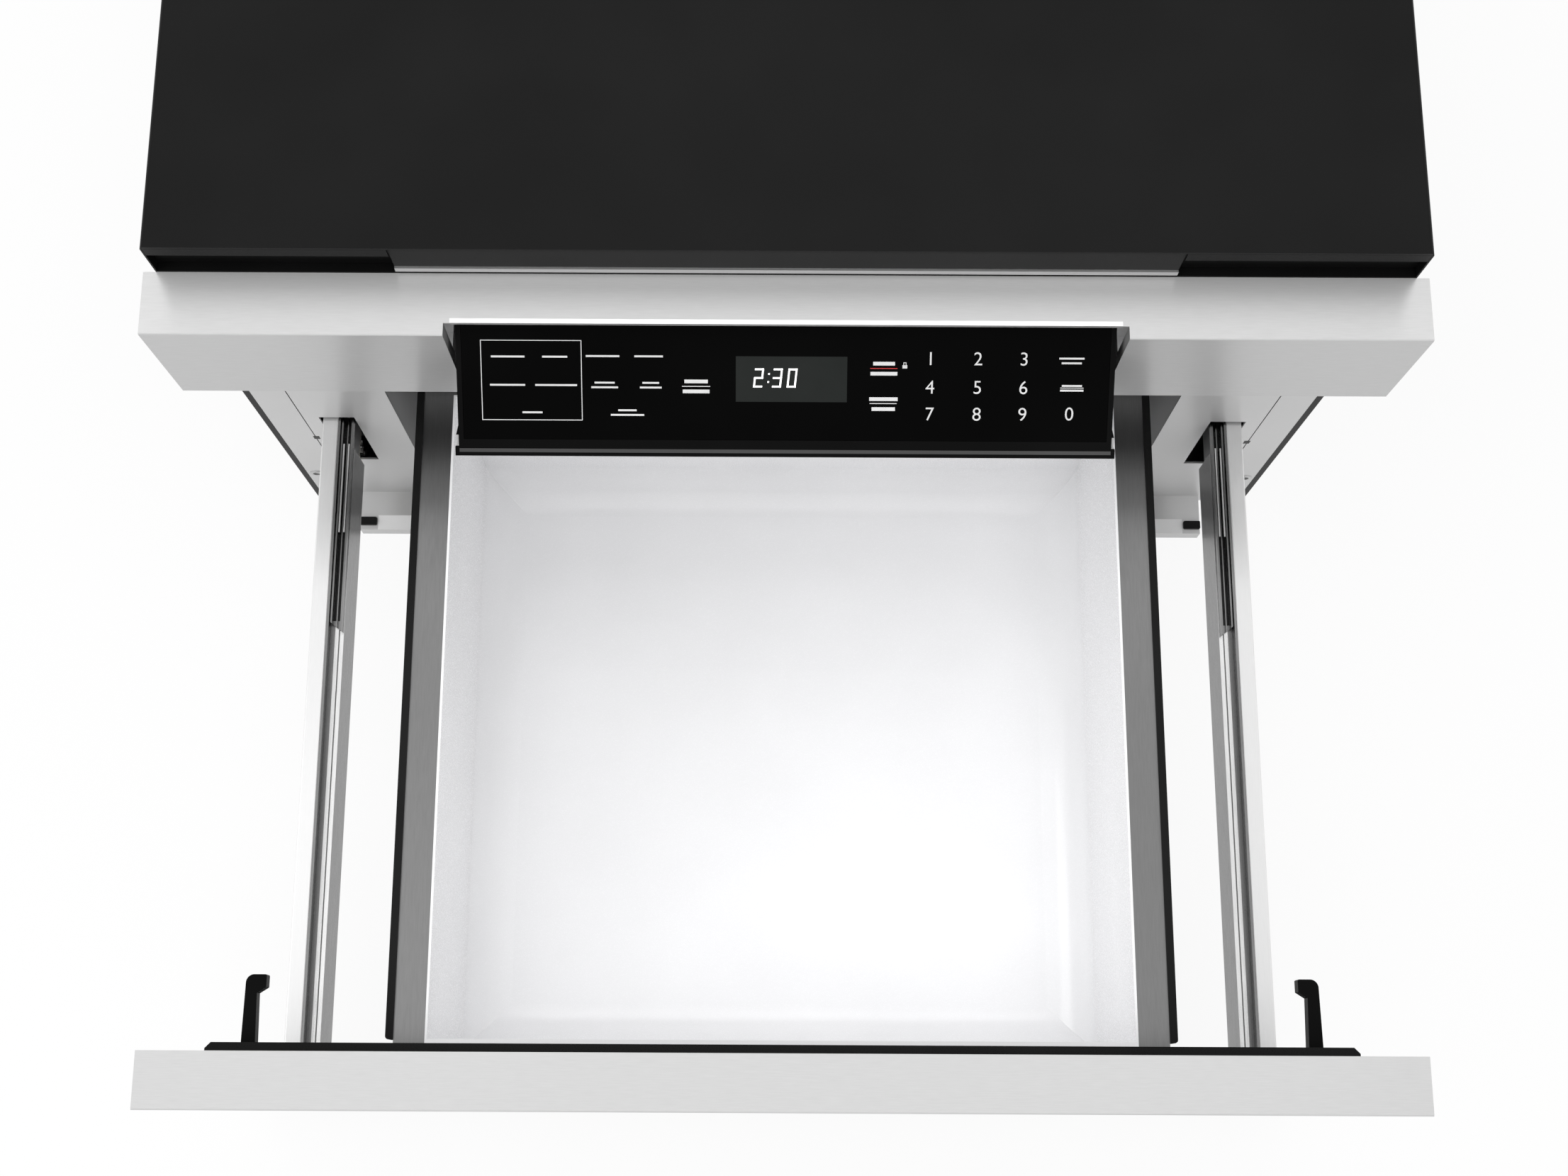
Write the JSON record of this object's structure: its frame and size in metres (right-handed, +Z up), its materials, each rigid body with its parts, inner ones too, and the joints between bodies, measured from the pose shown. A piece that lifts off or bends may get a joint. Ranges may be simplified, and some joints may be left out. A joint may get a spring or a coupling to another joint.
{
  "type": "microwave drawer",
  "caption": "Built-in microwave drawer, shown pulled out: dark case, brushed front, white tub with a grey rim, slides on both sides, and a touch panel that tilts out above the door.",
  "frame": {"origin": "middle of the base's underside, in the plane where the case meets the back of the front trim", "axes": "+X to the right as seen from the front, +Y back into the cabinet, +Z up"},
  "size_m": [0.759, 1.0629, 0.485],
  "materials": {
    "case_black": "black satin coating",
    "brushed_front": "brushed stainless steel, grain along X",
    "frame_grey": "light grey satin coating",
    "zinc_sheet": "plain zinc-plated sheet",
    "vent_grey": "dark grey satin coating",
    "dark_plastic": "black plastic, matt",
    "gasket_black": "black, matt",
    "black_plate": "black enamel",
    "tub_white": "white enamel, satin",
    "rim_grey": "grey satin coating",
    "bar_white": "white satin coating",
    "rail_zinc": "zinc-plated steel",
    "black_glass": "black, polished",
    "display": "dark display on a green board",
    "nylon": "natural nylon",
    "gear_steel": "cut steel",
    "copper_iron": "laminated iron with lacquered windings",
    "aluminium": "bare aluminium",
    "board_green": "circuit board, green lacquer"
  },
  "bodies": {
    "chassis": {"outer_case": "case_black", "rear_panel": "zinc_sheet", "cord_gland": "dark_plastic", "base_pan": "zinc_sheet", "base_sill": "frame_grey", "sill_end_caps": "gasket_black", "front_frame": "frame_grey", "frame_side_strips": "frame_grey", "fascia_trim": "brushed_front", "upper_closure": "case_black", "vent_strip": "vent_grey", "air_duct": "zinc_sheet", "control_recess": "zinc_sheet", "panel_hinge_brackets": "zinc_sheet", "cavity_shell": "zinc_sheet", "stirrer_cover": "tub_white", "waveguide": "zinc_sheet", "magnetron": "aluminium", "stirrer_motor": "dark_plastic", "hv_transformer": "copper_iron", "hv_capacitor": "aluminium", "hv_diode": "dark_plastic", "cooling_fan_housing": "dark_plastic", "cooling_fan_motor": "copper_iron", "power_board": "board_green", "oven_lamp": "dark_plastic", "interlock_switches": "dark_plastic", "fixed_rail_left": "rail_zinc", "fixed_rail_right": "rail_zinc", "drawer_motor": "dark_plastic", "rotary_damper": "dark_plastic", "case_screws": "gear_steel"},
    "drawer": {"door_skin": "brushed_front", "door_back_panel": "zinc_sheet", "door_choke_channel": "zinc_sheet", "door_inner_plate": "black_plate", "door_screws": "gear_steel", "latch_hook_left": "dark_plastic", "latch_hook_right": "dark_plastic", "drawer_tub": "tub_white", "rim_flange": "rim_grey", "rim_gasket": "gasket_black", "support_bar_left": "bar_white", "support_bar_right": "bar_white", "drawer_rail_left": "rail_zinc", "drawer_rail_right": "rail_zinc", "drive_rack": "nylon"},
    "slide_left": {"intermediate_rail_left": "rail_zinc"},
    "slide_right": {"intermediate_rail_right": "rail_zinc"},
    "control_panel": {"panel_face": "brushed_front", "panel_housing": "dark_plastic", "panel_back_cover": "dark_plastic", "panel_glass": "black_glass", "display_module": "display", "panel_arms": "zinc_sheet", "panel_sector": "nylon"},
    "drawer_pinion": {"drive_pinion": "gear_steel"},
    "panel_damper_pinion": {"damper_pinion": "nylon"},
    "stirrer": {"stirrer_blade": "aluminium"},
    "cooling_fan": {"cooling_fan_blade": "dark_plastic"}
  },
  "joints": [
    {"name": "drawer_slide", "type": "slide", "parent": "chassis", "child": "drawer", "axis": [0, 1, 0], "range_m": [0, 0.4396]},
    {"name": "slide_left_travel", "type": "slide", "parent": "chassis", "child": "slide_left", "axis": [0, 1, 0], "range_m": [0, 0.2198]},
    {"name": "slide_right_travel", "type": "slide", "parent": "chassis", "child": "slide_right", "axis": [0, 1, 0], "range_m": [0, 0.2198]},
    {"name": "panel_tilt", "type": "hinge", "parent": "chassis", "child": "control_panel", "pos_m": [0, -0.0155, 0.3686], "axis": [1, 0, 0], "range_deg": [-52, 0]},
    {"name": "drawer_pinion_spin", "type": "hinge", "parent": "chassis", "child": "drawer_pinion", "pos_m": [-0.3229, 0.024, 0.086], "axis": [1, 0, 0], "range_deg": [-1576, 1]},
    {"name": "damper_pinion_spin", "type": "hinge", "parent": "chassis", "child": "panel_damper_pinion", "pos_m": [0.1845, 0.0145, 0.3686], "axis": [1, 0, 0], "range_deg": [-1, 209]},
    {"name": "stirrer_spin", "type": "hinge", "parent": "chassis", "child": "stirrer", "pos_m": [0, 0.24, 0.3], "axis": [0, 0, 1], "continuous": true},
    {"name": "fan_spin", "type": "hinge", "parent": "chassis", "child": "cooling_fan", "pos_m": [0.15, 0.5678, 0.25], "axis": [0, 1, 0], "continuous": true}
  ],
  "couplings": [
    {"joint": "slide_left_travel", "follows": "drawer_slide", "ratio": 0.5},
    {"joint": "slide_right_travel", "follows": "drawer_slide", "ratio": 0.5},
    {"joint": "drawer_pinion_spin", "follows": "drawer_slide", "rad_per_m": -62.5},
    {"joint": "damper_pinion_spin", "follows": "panel_tilt", "ratio": -4}
  ]
}
